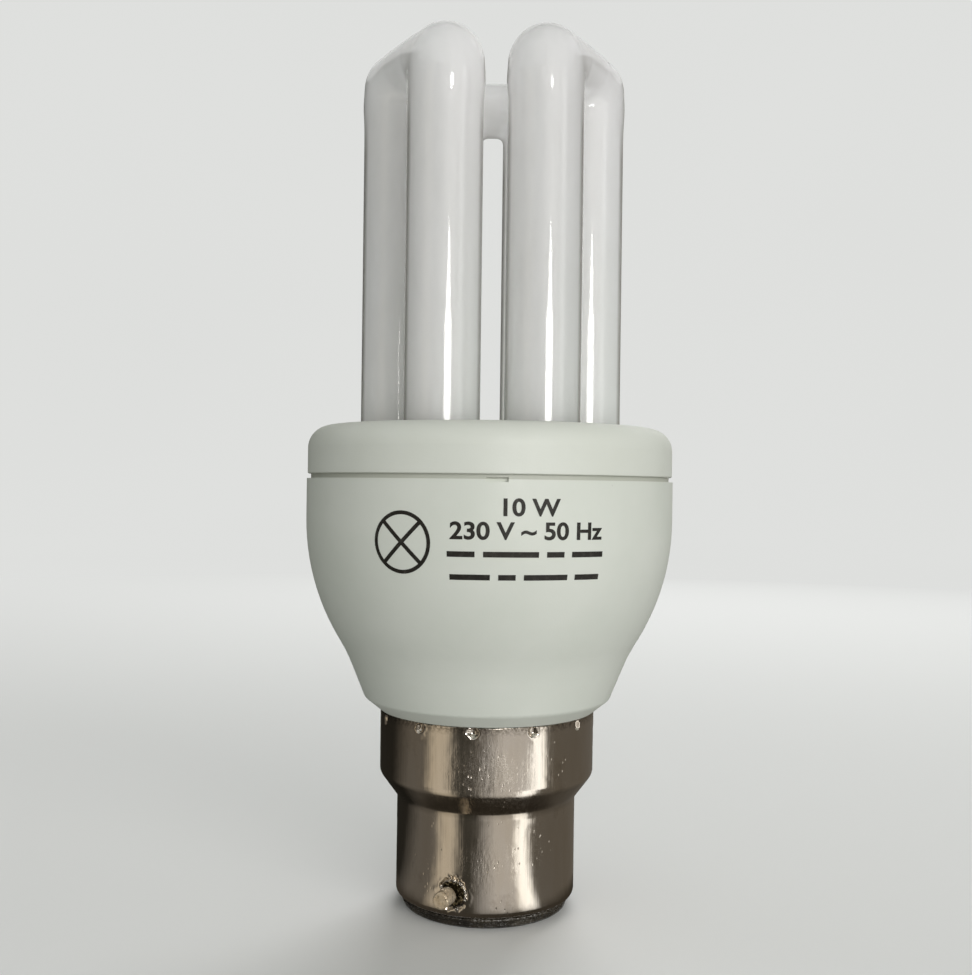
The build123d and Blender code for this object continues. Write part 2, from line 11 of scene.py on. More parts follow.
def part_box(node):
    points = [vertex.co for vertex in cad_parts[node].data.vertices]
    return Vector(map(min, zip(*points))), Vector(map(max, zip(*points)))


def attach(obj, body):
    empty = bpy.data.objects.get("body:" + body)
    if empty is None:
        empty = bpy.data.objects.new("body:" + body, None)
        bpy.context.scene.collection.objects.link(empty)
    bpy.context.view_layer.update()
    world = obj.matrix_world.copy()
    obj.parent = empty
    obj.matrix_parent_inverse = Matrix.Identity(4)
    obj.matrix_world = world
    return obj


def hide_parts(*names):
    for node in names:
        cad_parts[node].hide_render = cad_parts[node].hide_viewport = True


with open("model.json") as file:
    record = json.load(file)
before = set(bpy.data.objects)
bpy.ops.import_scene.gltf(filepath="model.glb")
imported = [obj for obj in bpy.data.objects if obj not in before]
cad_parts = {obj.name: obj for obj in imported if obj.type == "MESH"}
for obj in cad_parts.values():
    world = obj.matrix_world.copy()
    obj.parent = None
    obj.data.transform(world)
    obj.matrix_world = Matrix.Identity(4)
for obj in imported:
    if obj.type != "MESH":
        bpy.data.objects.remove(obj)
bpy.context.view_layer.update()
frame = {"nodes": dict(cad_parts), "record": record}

MM = 0.001

# The lamp's own sizes, in millimetres, where the frame's boxes don't give them
LEG_RADIUS = 4.43
LEG_CIRCLE_RADIUS = 11.65
LEG_TURN = 1.0
LEG_END_ROUNDING = 3.0
BRIDGE_HALF_HEIGHT = 3.4
BRIDGE_HALF_WIDTH = 4.2
BRIDGE_DROP = 3.45
BRIDGE_START = 3.3
BRIDGE_BLEND = 1.2
STUB_RADIUS = 1.7
STUB_HEIGHT = 54.3
PATH_RADIUS = 5.0
HEEL_BULGE = 0.3
HEEL_DROP = 6.6
HEEL_REACH = 2.0
BOWL_RADIUS = 22.5
SEAM_HEIGHT = 0.55
BARREL_RADIUS = 11.0
SKIRT_RADIUS = 13.18
SKIRT_HEIGHT = 7.75
TAPER_HEIGHT = 2.95
TAPER_ROUNDING = 1.3
LIP_ROUNDING = 0.7
LIP_WIDTH = 0.85
CAP_SHEET = 0.35
CAP_OUTWARD_LIMIT = 0.06
CRIMP_COUNT = 12
CRIMP_TURN = -96.0
CRIMP_DROP = 0.58
CRIMP_RADIUS = 0.55
CRIMP_DEPTH = 0.45
PIN_HEIGHT = 3.9
PIN_TURN = -112.4
SCAR_ASIDE = 0.5
SCAR_RAISED = 0.2
SCAR_RADIUS = 1.7
SCAR_DEPTH = 0.22
CAP_SEGMENTS = 560
BEAD_SEGMENTS = 520
BEAD_THICKNESS = 0.3
BEAD_DROP = 0.28
SKIRT_WEAR = (0.6, -SKIRT_RADIUS, 18.5)
BARREL_WEAR = (0.4, -BARREL_RADIUS, 7.5)

# The print on the bowl: distances round from its front, and heights
PRINT_SYMBOL = (-9.7, 45.2)
PRINT_MIDDLE = 4.3
PRINT_LINES = (49.15, 46.65, 44.1, 41.65)
PRINT_LETTER = 1.85
PRINT_CUTS = (-11.0, 18.0, 0.7)
PRINT_PROUD = 0.025
SYMBOL_OUTER = 3.4
SYMBOL_INNER = 2.98
SYMBOL_STROKE = (6.2, 0.44)
BAR_ROWS = ((2, (3.0, 6.0, 2.0, 3.9)), (3, (4.4, 1.9, 5.0, 3.1)))
BAR_HEIGHT = 0.6
BAR_GAP = 0.9

# The camera: distance from the axis, height and lens as the photograph has them
CAMERA_DISTANCE = 142.0
CAMERA_HEIGHT = 51.3
FOCAL_PIXELS = 1140.0
FRAME_HEIGHT_PIXELS = 975.0
SENSOR_MM = 36.0
CAMERA_ROLL = 0.72
CAMERA_PAN = 0.18
CAMERA_TILT = -0.075

lamp_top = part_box("discharge_tube")[1].z / MM
leg_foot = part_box("discharge_tube")[0].z / MM
cover_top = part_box("upper_cover")[1].z / MM
seam_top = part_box("lower_housing")[1].z / MM
cap_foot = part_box("cap_shell")[0].z / MM
cap_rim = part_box("cap_shell")[1].z / MM
dome_height = lamp_top - LEG_RADIUS
bridge_height = lamp_top - BRIDGE_DROP
middle_height = lamp_top / 2
taper_top = cap_rim - SKIRT_HEIGHT
taper_foot = taper_top - TAPER_HEIGHT

# Floor and wall of the studio
FLOOR_REACH = 900.0
FLOOR_BEND = 700.0
WALL_HEIGHT = 2600.0


class Look:
    """One procedural material, with short calls for its nodes."""

    def __init__(self, name, **sockets):
        self.material = bpy.data.materials.new(name)
        self.material.use_nodes = True
        self.tree = self.material.node_tree
        self.shader = self.tree.nodes["Principled BSDF"]
        self.place = self.add("ShaderNodeTexCoord").outputs["Object"]
        for socket, value in sockets.items():
            self.shader.inputs[socket.replace("_", " ")].default_value = value

    def add(self, kind, inputs=None, **settings):
        """Add a node; an input's value is a number, a colour or another node's output."""
        node = self.tree.nodes.new(kind)
        for setting, value in settings.items():
            setattr(node, setting, value)
        for socket, value in (inputs or {}).items():
            self.feed(node.inputs[socket], value)
        return node

    def feed(self, socket, value):
        """Link an output to a socket, or set the socket's own value."""
        if isinstance(value, bpy.types.NodeSocket):
            self.tree.links.new(value, socket)
        else:
            socket.default_value = value

    def stretched(self, x, y, z):
        """Object coordinates scaled along each axis, for streaks and grain."""
        node = self.add("ShaderNodeMapping", {"Vector": self.place, "Scale": (x, y, z)})
        return node.outputs["Vector"]

    def noise(self, scale, detail=3.0, roughness=0.5, place=None):
        """Smooth random value about 0.5; scale is in features per metre."""
        inputs = {"Scale": scale, "Detail": detail, "Roughness": roughness}
        inputs["Vector"] = self.place if place is None else place
        return self.add("ShaderNodeTexNoise", inputs).outputs["Fac"]

    def cells(self, scale, place=None):
        """Distance to the nearest of scattered points."""
        inputs = {"Scale": scale, "Vector": self.place if place is None else place}
        return self.add("ShaderNodeTexVoronoi", inputs).outputs["Distance"]

    def math(self, operation, first, second=0.0):
        """Arithmetic on two values."""
        return self.add("ShaderNodeMath", {0: first, 1: second}, operation=operation).outputs[0]

    def span(self, value, low, high, to_low=0.0, to_high=1.0):
        """Value mapped from one range to another and held inside it."""
        inputs = {"Value": value, "From Min": low, "From Max": high, "To Min": to_low, "To Max": to_high}
        return self.add("ShaderNodeMapRange", inputs).outputs["Result"]

    def mix(self, factor, first, second):
        """Blend of two colours."""
        node = self.add("ShaderNodeMix", data_type="RGBA")
        self.feed(node.inputs["Factor"], factor)
        self.feed(node.inputs[6], first)
        self.feed(node.inputs[7], second)
        return node.outputs[2]

    def bump(self, height, depth, under=None):
        """Bump whose height of 1 stands for a depth in metres, over another bump if given."""
        inputs = {"Height": height, "Distance": depth, "Strength": 1.0}
        if under is not None:
            inputs["Normal"] = under
        return self.add("ShaderNodeBump", inputs).outputs["Normal"]

    def near(self, point, inner, outer, ragged):
        """1 within a distance of a point in millimetres, 0 past another, with a ragged edge."""
        inputs = {0: self.place, 1: Vector(point) * MM}
        away = self.add("ShaderNodeVectorMath", inputs, operation="DISTANCE").outputs["Value"]
        away = self.math("ADD", away, self.math("MULTIPLY", self.noise(900.0, 3.0, 0.7), ragged * MM))
        return self.span(away, inner * MM, outer * MM, 1.0, 0.0)

    def split(self):
        """The x, y and z of the object coordinates."""
        return self.add("ShaderNodeSeparateXYZ", {"Vector": self.place}).outputs

    def from_axis(self):
        """Distance from the lamp's axis."""
        x, y = self.split()[:2]
        return self.math("SQRT", self.math("ADD", self.math("MULTIPLY", x, x), self.math("MULTIPLY", y, y)))

    def finish(self, colour=None, roughness=None, normal=None):
        """Link what was worked out to the shader."""
        for socket, value in (("Base Color", colour), ("Roughness", roughness), ("Normal", normal)):
            if value is not None:
                self.feed(self.shader.inputs[socket], value)
        return self.material


def paint(red, green, blue):
    """A linear colour from the 0 to 255 values that it shows as."""
    shares = [value / 255 for value in (red, green, blue)]
    linear = [s / 12.92 if s <= 0.04045 else ((s + 0.055) / 1.055) ** 2.4 for s in shares]
    return (*linear, 1.0)


def plastic_look(name, colour, shade):
    """Satin moulded plastic with flow mottling, fine grain, a few dust specks and painted shade in the seam
    groove.
    """
    look = Look(name, Specular_IOR_Level=0.3, IOR=1.5)
    mottle = look.noise(90.0, 4.0, 0.6)
    base = look.mix(look.span(mottle, 0.35, 0.65), colour, shade)
    dust = look.span(look.cells(330.0), 0.02, 0.055, 1.0, 0.0)
    rare = look.span(look.noise(150.0, 1.0), 0.6, 0.68)
    speck = look.math("MULTIPLY", look.math("MULTIPLY", dust, rare), 0.35)
    base = look.mix(speck, base, paint(120, 115, 104))
    z = look.split()[2]
    # Painted shade: the faces inside the seam groove are darkened.
    seam_foot = seam_top - SEAM_HEIGHT
    above_foot = look.span(z, (seam_foot + 0.02) * MM, (seam_foot + 0.08) * MM)
    below_top = look.span(z, (seam_top + 0.02) * MM, (seam_top + 0.1) * MM, 0.5, 0.0)
    base = look.mix(look.math("MULTIPLY", above_foot, below_top), base, paint(150, 149, 136))
    rough = look.span(look.noise(700.0, 3.0), 0.3, 0.7, 0.44, 0.54)
    grain = look.bump(look.noise(5200.0, 2.0), 0.000008)
    wave = look.bump(look.noise(55.0, 2.0), 0.00006, grain)
    return look.finish(base, rough, wave)


def tube_look():
    """White powder behind clear glass: a milky body under a glossy coat, with painted grey shade on the
    legs' edges and painted light on their side away from the key light.
    """
    look = Look(
        "phosphor_glass_look", Coat_Weight=1.0, Coat_Roughness=0.02, Coat_IOR=1.5,
        Subsurface_Weight=1.0, Subsurface_Scale=0.022, Subsurface_Radius=(1.0, 1.0, 1.0),
    )
    z = look.split()[2]
    # Paler and pinker towards the top of the legs, greyer lower down.
    height = look.span(z, (cover_top + 2.0) * MM, lamp_top * MM)
    base = look.mix(height, paint(221, 225, 221), paint(236, 232, 234))
    # Painted light: the colour is paler on the side that faces away from the key light, which evens out the
    # legs' shading.
    shell_normal = look.add("ShaderNodeNewGeometry").outputs["Normal"]
    sideways = look.add("ShaderNodeSeparateXYZ", {"Vector": shell_normal}).outputs[0]
    base = look.mix(look.span(sideways, -0.3, 0.6, 0.9, 0.0), base, paint(253, 250, 248))
    cloud = look.span(look.noise(160.0, 3.0, 0.6, look.stretched(1.0, 1.0, 0.35)), 0.3, 0.7)
    base = look.mix(look.math("MULTIPLY", cloud, 0.35), base, paint(216, 217, 211))
    # Painted shade: grey where the legs turn edge-on to the view, weaker near the domes.
    facing = look.add("ShaderNodeLayerWeight", {"Blend": 0.5}).outputs["Facing"]
    rim = look.span(facing, 0.54, 0.7, 0.0, 0.75)
    rim = look.math("MULTIPLY", rim, look.span(z, (lamp_top - 13.0) * MM, (lamp_top - 8.0) * MM, 1.0, 0.25))
    base = look.mix(rim, base, paint(126, 124, 118))
    streaks = look.noise(420.0, 2.0, 0.5, look.stretched(1.0, 1.0, 0.02))
    draw = look.bump(streaks, 0.00001)
    rough = look.span(look.noise(900.0, 2.0), 0.3, 0.7, 0.42, 0.52)
    look.feed(look.shader.inputs["Coat Normal"], draw)
    return look.finish(base, rough)


def scar_middle(turn):
    """Middle of the torn metal beside the bayonet pin at a turn."""
    turn = radians(turn) + SCAR_ASIDE / BARREL_RADIUS
    return (BARREL_RADIUS * cos(turn), BARREL_RADIUS * sin(turn), PIN_HEIGHT + SCAR_RAISED)


def nickel_look():
    """Thin nickel on drawn brass: scratches, pits, painted shade in the waist and torn metal at the pins.
    """
    look = Look("cap_metal_look", Metallic=1.0)
    z = look.split()[2]
    clean, warm, dark = paint(217, 212, 206), paint(205, 195, 180), paint(126, 110, 88)
    # Warmer streaks running up the cap: tarnish, and in part painted reflection bands.
    tint = look.span(look.noise(130.0, 4.0, 0.6, look.stretched(1.0, 1.0, 0.25)), 0.35, 0.7)
    base = look.mix(tint, clean, warm)
    stain = look.span(look.noise(260.0, 5.0, 0.7), 0.58, 0.8, 0.0, 0.4)
    base = look.mix(stain, base, dark)
    # Painted shade: the waist between skirt and barrel is darkened.
    waist_low = look.span(z, (taper_foot - 0.5) * MM, (taper_foot + 0.7) * MM)
    waist_high = look.span(z, (taper_top - 0.5) * MM, (taper_top + 0.1) * MM, 1.0, 0.0)
    waist = look.math("MULTIPLY", look.math("MULTIPLY", waist_low, waist_high), 0.6)
    base = look.mix(waist, base, paint(96, 86, 70))
    speckle = look.noise(3200.0, 3.0, 0.7)
    # Dark brown speckles in a band just under the rim, over the dents.
    rim_speckle = look.span(z, (cap_rim - 1.1) * MM, (cap_rim - 0.1) * MM, 0.0, 0.8)
    rim_speckle = look.math("MULTIPLY", rim_speckle, look.span(speckle, 0.4, 0.6))
    base = look.mix(rim_speckle, base, paint(74, 62, 44))
    torn = look.near(scar_middle(PIN_TURN), 1.8, 2.1, 0.9)
    torn = look.math("MAXIMUM", torn, look.near(scar_middle(PIN_TURN + 180), 1.8, 2.1, 0.9))
    flecks = look.span(look.noise(2300.0, 3.0, 0.7), 0.5, 0.62)
    base = look.mix(torn, base, look.mix(flecks, paint(46, 39, 26), paint(176, 162, 132)))
    streaks = look.noise(2600.0, 3.0, 0.6, look.stretched(1.0, 1.0, 0.03))
    worn = look.near(SKIRT_WEAR, 2.5, 6.5, 2.0)
    worn = look.math("MAXIMUM", worn, look.near(BARREL_WEAR, 1.5, 4.5, 2.0))
    rough = look.span(streaks, 0.3, 0.7, 0.09, 0.19)
    rough = look.math("ADD", rough, look.math("MULTIPLY", worn, look.span(speckle, 0.3, 0.7, 0.02, 0.2)))
    rough = look.math("ADD", rough, look.math("MULTIPLY", torn, 0.3))
    pits = look.span(look.cells(2300.0, look.stretched(1.0, 1.0, 0.45)), 0.0, 0.2, 1.0, 0.0)
    few = look.math("ADD", look.span(look.noise(230.0, 2.0), 0.56, 0.66), look.math("MULTIPLY", worn, 0.8))
    holes = look.math("SUBTRACT", 1.0, look.math("MULTIPLY", pits, few))
    normal = look.bump(streaks, 0.000012)
    normal = look.bump(holes, 0.00004, normal)
    scuffs = look.math("MULTIPLY", worn, look.noise(1500.0, 3.0, 0.7, look.stretched(1.0, 1.0, 0.3)))
    normal = look.bump(scuffs, 0.00007, normal)
    normal = look.bump(look.math("MULTIPLY", torn, look.noise(1800.0, 4.0, 0.7)), 0.0006, normal)
    normal = look.bump(look.noise(260.0, 2.0, 0.5, look.stretched(1.0, 1.0, 0.3)), 0.00003, normal)
    return look.finish(base, rough, normal)


def pin_look():
    """Worn pins: brass showing through dull nickel, with nicks."""
    look = Look("pin_metal_look", Metallic=0.5)
    worn = look.span(look.noise(900.0, 4.0, 0.7), 0.35, 0.65)
    base = look.mix(worn, paint(224, 210, 188), paint(196, 176, 146))
    dirt = look.span(look.noise(2400.0, 3.0, 0.7), 0.55, 0.7, 0.0, 0.8)
    base = look.mix(dirt, base, paint(80, 66, 44))
    rough = look.span(look.noise(1600.0, 3.0), 0.35, 0.7, 0.25, 0.5)
    nicks = look.bump(look.noise(1700.0, 3.0, 0.6), 0.00012)
    return look.finish(base, rough, nicks)


def ink_look():
    """Pad-printed black ink, slightly thin in places."""
    look = Look("print_ink_look", Specular_IOR_Level=0.3)
    thin = look.span(look.noise(1500.0, 3.0, 0.6), 0.5, 0.75, 0.0, 0.35)
    base = look.mix(thin, paint(34, 32, 28), paint(84, 82, 74))
    rough = look.span(look.noise(2500.0), 0.3, 0.7, 0.45, 0.6)
    return look.finish(base, rough, look.bump(look.noise(3000.0, 2.0), 0.000008))


def black_glass_look():
    """Moulded black glass with chilled ripples and small glints."""
    look = Look("black_glass_look", Coat_Weight=0.6, Coat_Roughness=0.08, IOR=1.52)
    cloud = look.span(look.noise(300.0, 3.0), 0.35, 0.7)
    base = look.mix(cloud, paint(20, 18, 16), paint(66, 60, 50))
    ripple = look.bump(look.noise(1300.0, 4.0, 0.7), 0.0003)
    rough = look.span(look.noise(1500.0, 2.0), 0.35, 0.7, 0.12, 0.34)
    return look.finish(base, rough, ripple)


def grained_look(name, colour, second, rough_low, rough_high, scale, depth, metallic):
    """Plain stuff with a two-tone grain, for the pieces inside."""
    look = Look(name, Metallic=metallic)
    grain = look.noise(scale, 4.0, 0.6)
    base = look.mix(look.span(grain, 0.3, 0.7), colour, second)
    rough = look.span(grain, 0.3, 0.7, rough_low, rough_high)
    return look.finish(base, rough, look.bump(grain, depth))


def wound_look(name, colour, gap_shade, pitch):
    """Enamelled wire wound in close turns, one over the other, with painted shade in the gaps between them.
    """
    look = Look(name, Metallic=0.85)
    wave = look.add(
        "ShaderNodeTexWave",
        {"Vector": look.place, "Scale": 0.3125 / pitch, "Distortion": 0.6, "Detail": 1.0},
        bands_direction="Z",
    ).outputs["Fac"]
    # Painted shade: darker copper in the gaps between turns.
    base = look.mix(look.span(wave, 0.0, 0.45), gap_shade, colour)
    rough = look.span(look.noise(2000.0), 0.3, 0.7, 0.25, 0.4)
    return look.finish(base, rough, look.bump(wave, 0.0001))


def laminate_look():
    """Tan board with fibres and a faint weave."""
    look = Look("board_laminate_look")
    fibres = look.noise(900.0, 4.0, 0.7, look.stretched(1.0, 0.15, 1.0))
    base = look.mix(look.span(fibres, 0.3, 0.7), paint(190, 160, 108), paint(150, 118, 74))
    rough = look.span(fibres, 0.3, 0.7, 0.45, 0.65)
    return look.finish(base, rough, look.bump(fibres, 0.00003))


# Plain stuffs by slot: two tones, lowest and highest roughness, features per metre, depth of the
# grain in metres and how metallic it is
GRAINED = {
    "cement": ((226, 222, 210), (200, 194, 178), 0.8, 0.95, 1500, 0.0001, 0.0),
    "contact_brass": ((206, 178, 118), (170, 140, 84), 0.25, 0.45, 1200, 0.00002, 1.0),
    "solder": ((202, 202, 198), (160, 160, 156), 0.25, 0.5, 900, 0.00005, 1.0),
    "capacitor_sleeve": ((38, 44, 66), (28, 32, 50), 0.22, 0.34, 400, 0.00001, 0.0),
    "ferrite": ((70, 70, 72), (48, 48, 50), 0.5, 0.7, 2500, 0.00003, 0.0),
    "bobbin_plastic": ((236, 233, 222), (226, 222, 208), 0.4, 0.5, 700, 0.00001, 0.0),
    "resistor_sleeve": ((232, 228, 212), (200, 196, 180), 0.7, 0.9, 3000, 0.00008, 0.0),
    "resistor_body": ((214, 196, 156), (196, 176, 134), 0.4, 0.5, 900, 0.00001, 0.0),
    "diode_glass": ((190, 96, 48), (150, 66, 30), 0.1, 0.2, 600, 0.00001, 0.0),
    "film_case": ((160, 52, 36), (136, 40, 28), 0.2, 0.32, 500, 0.00003, 0.0),
    "transistor_case": ((44, 44, 46), (30, 30, 32), 0.5, 0.65, 2500, 0.00002, 0.0),
    "tinned_wire": ((206, 206, 202), (168, 168, 164), 0.25, 0.4, 2000, 0.00001, 1.0),
    "lead_insulation": ((70, 84, 140), (58, 70, 122), 0.4, 0.5, 900, 0.00001, 0.0),
}


def make_looks():
    """The material of each slot in the record."""
    made = {
        "phosphor_glass": tube_look(),
        "cover_plastic": plastic_look("cover_plastic_look", paint(229, 232, 223), paint(225, 228, 218)),
        "housing_plastic": plastic_look("housing_plastic_look", paint(228, 231, 222), paint(223, 227, 217)),
        "cap_metal": nickel_look(),
        "pin_metal": pin_look(),
        "black_glass": black_glass_look(),
        "board_laminate": laminate_look(),
        "copper_wire": wound_look("copper_wire_look", paint(200, 118, 70), paint(96, 46, 24), 0.0003),
    }
    for slot, (colour, second, *rest) in GRAINED.items():
        made[slot] = grained_look(slot + "_look", paint(*colour), paint(*second), *rest)
    return made


def dress_nodes(looks):
    """Give every CAD piece the material of its slot."""
    for part in frame["record"]["subparts"]:
        node = frame["nodes"][part["node"]]
        node.data.materials.clear()
        node.data.materials.append(looks[part["material_slot"]])


def mesh_piece(name, points, faces, look):
    """Smooth mesh object from points in millimetres."""
    mesh = bpy.data.meshes.new(name)
    mesh.from_pydata([Vector(point) * MM for point in points], [], faces)
    mesh.validate()
    shape = bmesh.new()
    shape.from_mesh(mesh)
    bmesh.ops.recalc_face_normals(shape, faces=shape.faces)
    shape.to_mesh(mesh)
    shape.free()
    mesh.polygons.foreach_set("use_smooth", [True] * len(mesh.polygons))
    mesh.materials.append(look)
    piece = bpy.data.objects.new(name, mesh)
    bpy.context.scene.collection.objects.link(piece)
    return piece


def strip_faces(ring_count, ring_size, closed_ends=True, first=0):
    """Quads between rings of points that follow one another, and a cap on each end if asked."""
    faces = []
    for ring in range(ring_count - 1):
        low = first + ring * ring_size
        high = low + ring_size
        for index in range(ring_size):
            after = (index + 1) % ring_size
            faces.append((low + index, low + after, high + after, high + index))
    if closed_ends:
        faces.append(tuple(first + index for index in reversed(range(ring_size))))
        last = first + (ring_count - 1) * ring_size
        faces.append(tuple(last + index for index in range(ring_size)))
    return faces


def round_strip_faces(ring_count, ring_size):
    """Quads between rings of points where the last ring joins the first."""
    faces = strip_faces(ring_count, ring_size, closed_ends=False)
    last = (ring_count - 1) * ring_size
    for index in range(ring_size):
        after = (index + 1) % ring_size
        faces.append((last + index, last + after, after, index))
    return faces


def smooth_union(first, second, blend):
    """Two distances joined with a soft fillet where they meet."""
    share = np.clip(0.5 + 0.5 * (second - first) / blend, 0, 1)
    return second * (1 - share) + first * share - blend * share * (1 - share)


def leg_distance(points, foot_u):
    """Distance to a leg with a domed top that stands at foot_u, in the plane of its bend."""
    u, w, z = points[..., 0] - foot_u, points[..., 1], points[..., 2]
    outwards = np.clip(-u if foot_u == 0 else u, 0, None) / LEG_RADIUS
    heel = HEEL_BULGE * outwards * np.exp(-(((z - (lamp_top - HEEL_DROP)) / HEEL_REACH) ** 2))
    above = np.clip(z - dome_height, 0, None)
    return np.sqrt(u**2 + w**2 + above**2) - LEG_RADIUS - heel


def bridge_distance(points, span):
    """Distance to the level tube between two legs."""
    u = points[..., 0]
    past = np.clip(BRIDGE_START - u, 0, None) + np.clip(u - (span - BRIDGE_START), 0, None)
    across = points[..., 1] * BRIDGE_HALF_HEIGHT / BRIDGE_HALF_WIDTH
    return np.sqrt(past**2 + across**2 + (points[..., 2] - bridge_height) ** 2) - BRIDGE_HALF_HEIGHT


def bend_distance(points, span):
    """Distance to one whole U-bent tube."""
    legs = np.minimum(leg_distance(points, 0.0), leg_distance(points, span))
    return smooth_union(legs, bridge_distance(points, span), BRIDGE_BLEND)


def bend_stations(span):
    """Middles and outward directions of the rings along a U, in its own plane."""
    bend_foot = bridge_height - PATH_RADIUS
    stations = []
    for z in np.linspace(leg_foot + LEG_END_ROUNDING, bend_foot - 10.0, 14):
        stations.append((0.0, z, -1.0, 0.0))
    for z in np.linspace(bend_foot - 9.6, bend_foot, 24):
        stations.append((0.0, z, -1.0, 0.0))
    for turn in np.linspace(0, pi / 2, 41)[1:]:
        out_u, out_z = -cos(turn), sin(turn)
        stations.append((PATH_RADIUS * (1 + out_u), bend_foot + PATH_RADIUS * out_z, out_u, out_z))
    for u in np.linspace(PATH_RADIUS, span / 2, 6)[1:]:
        stations.append((u, bridge_height, 0.0, 1.0))
    mirrored = [(span - u, z, -out_u, out_z) for u, z, out_u, out_z in reversed(stations[:-1])]
    return np.array(stations + mirrored)


def bend_rings(span, ring_size):
    """Rings of surface points, found outwards from the U's middle line by halving."""
    stations = bend_stations(span)
    turns = np.arange(ring_size) * 2 * pi / ring_size
    middles = np.stack([stations[:, 0], np.zeros(len(stations)), stations[:, 1]], axis=1)[:, None, :]
    out_u = stations[:, 2][:, None] * np.cos(turns)
    out_z = stations[:, 3][:, None] * np.cos(turns)
    across = np.broadcast_to(np.sin(turns), out_u.shape)
    directions = np.stack([out_u, across, out_z], axis=-1)
    low = np.zeros(out_u.shape)
    high = np.full(out_u.shape, 1.7 * LEG_RADIUS)
    for _ in range(40):
        half = (low + high) / 2
        inside = bend_distance(middles + directions * half[..., None], span) < 0
        low = np.where(inside, half, low)
        high = np.where(inside, high, half)
    return middles + directions * low[..., None]


def rounded_feet(rings):
    """Close both ends with rings that round the foot of each leg."""
    steps = np.linspace(0, pi / 2, 9)[1:]
    ends = []
    for ring in (rings[0], rings[-1]):
        middle = ring.mean(axis=0)
        end = []
        for turn in steps:
            radius = LEG_RADIUS - LEG_END_ROUNDING * (1 - cos(turn))
            lowered = middle + (ring - middle) * radius / LEG_RADIUS
            lowered[:, 2] -= LEG_END_ROUNDING * sin(turn)
            end.append(lowered)
        ends.append(end)
    return np.stack(ends[0][::-1] + list(rings) + ends[1])


def leg_place(index):
    """Middle of one of the six legs, seen from above."""
    turn = radians(LEG_TURN + 60 * index)
    return np.array([LEG_CIRCLE_RADIUS * cos(turn), LEG_CIRCLE_RADIUS * sin(turn), 0.0])


def plain_tube(start, end, radius, ring_size):
    """Rings of a straight closed tube between two points."""
    along = (end - start) / np.linalg.norm(end - start)
    across = np.cross(along, (0, 0, 1))
    up = np.cross(across, along)
    turns = np.arange(ring_size) * 2 * pi / ring_size
    ring = radius * (np.cos(turns)[:, None] * across + np.sin(turns)[:, None] * up)
    return np.stack([start + ring, end + ring])


def make_tubes(look):
    """The three U-bent glass tubes and the two stubs that join them in the cement."""
    ring_size = 72
    points, faces = [], []
    for first in (1, 3, 5):
        start, end = leg_place(first), leg_place((first + 1) % 6)
        span = np.linalg.norm(end - start)
        along = (end - start) / span
        across = np.array([-along[1], along[0], 0.0])
        rings = rounded_feet(bend_rings(span, ring_size))
        placed = start + rings[..., :1] * along + rings[..., 1:2] * across + rings[..., 2:] * (0, 0, 1)
        faces += strip_faces(len(placed), ring_size, first=len(points))
        points += placed.reshape(-1, 3).tolist()
    for first in (0, 2):
        lift = np.array([0.0, 0.0, STUB_HEIGHT])
        rings = plain_tube(leg_place(first) + lift, leg_place(first + 1) + lift, STUB_RADIUS, 24)
        faces += strip_faces(2, 24, first=len(points))
        points += rings.reshape(-1, 3).tolist()
    tubes = mesh_piece("glass_tubes", points, faces, look)
    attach(tubes, "root")
    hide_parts("discharge_tube")


def rounded_outline(corners, arc_steps):
    """Points along straight runs and round corners, from (radius, height, rounding) corners."""
    places = [np.array(corner[:2]) for corner in corners]
    outline = [places[0]]
    for index in range(1, len(corners) - 1):
        before = places[index] - places[index - 1]
        after = places[index + 1] - places[index]
        before, after = before / np.linalg.norm(before), after / np.linalg.norm(after)
        bend = acos(np.clip(before @ after, -1, 1))
        rounding = corners[index][2]
        start = places[index] - before * rounding * tan(bend / 2)
        inward = after - before * (before @ after)
        inward = inward / np.linalg.norm(inward)
        for turn in np.linspace(0, bend, arc_steps):
            outline.append(start + rounding * (before * sin(turn) + inward * (1 - cos(turn))))
    outline.append(places[-1])
    return np.array(outline)


def even_rows(outline, places):
    """Points and outward directions at places along an outline, given in millimetres from its start."""
    steps = np.linalg.norm(np.diff(outline, axis=0), axis=1)
    along = np.concatenate([[0], np.cumsum(steps)])
    rows = np.stack([np.interp(places, along, outline[:, axis]) for axis in (0, 1)], axis=1)
    forward = np.gradient(rows, axis=0)
    forward /= np.linalg.norm(forward, axis=1)[:, None]
    return rows, np.stack([-forward[:, 1], forward[:, 0]], axis=1)


def patchy(turns, heights, columns, rows, seed):
    """Smooth random value from -1 to 1 over a surface of revolution, the same in every run."""
    grid = np.random.default_rng(seed).uniform(-1, 1, (rows + 2, columns))
    across = (turns / (2 * pi) % 1.0) * columns
    up = np.clip((heights - cap_foot) / (cap_rim - cap_foot), 0, 1) * rows
    left, low = np.floor(across).astype(int), np.floor(up).astype(int)
    share_across, share_up = across - left, up - low
    share_across = share_across**2 * (3 - 2 * share_across)
    share_up = share_up**2 * (3 - 2 * share_up)
    left, right = left % columns, (left + 1) % columns
    lower = grid[low, left] * (1 - share_across) + grid[low, right] * share_across
    upper = grid[low + 1, left] * (1 - share_across) + grid[low + 1, right] * share_across
    return lower * (1 - share_up) + upper * share_up


def turn_apart(turns, middle):
    """Signed turn between each value and a middle one, in radians."""
    return (turns - middle + pi) % (2 * pi) - pi


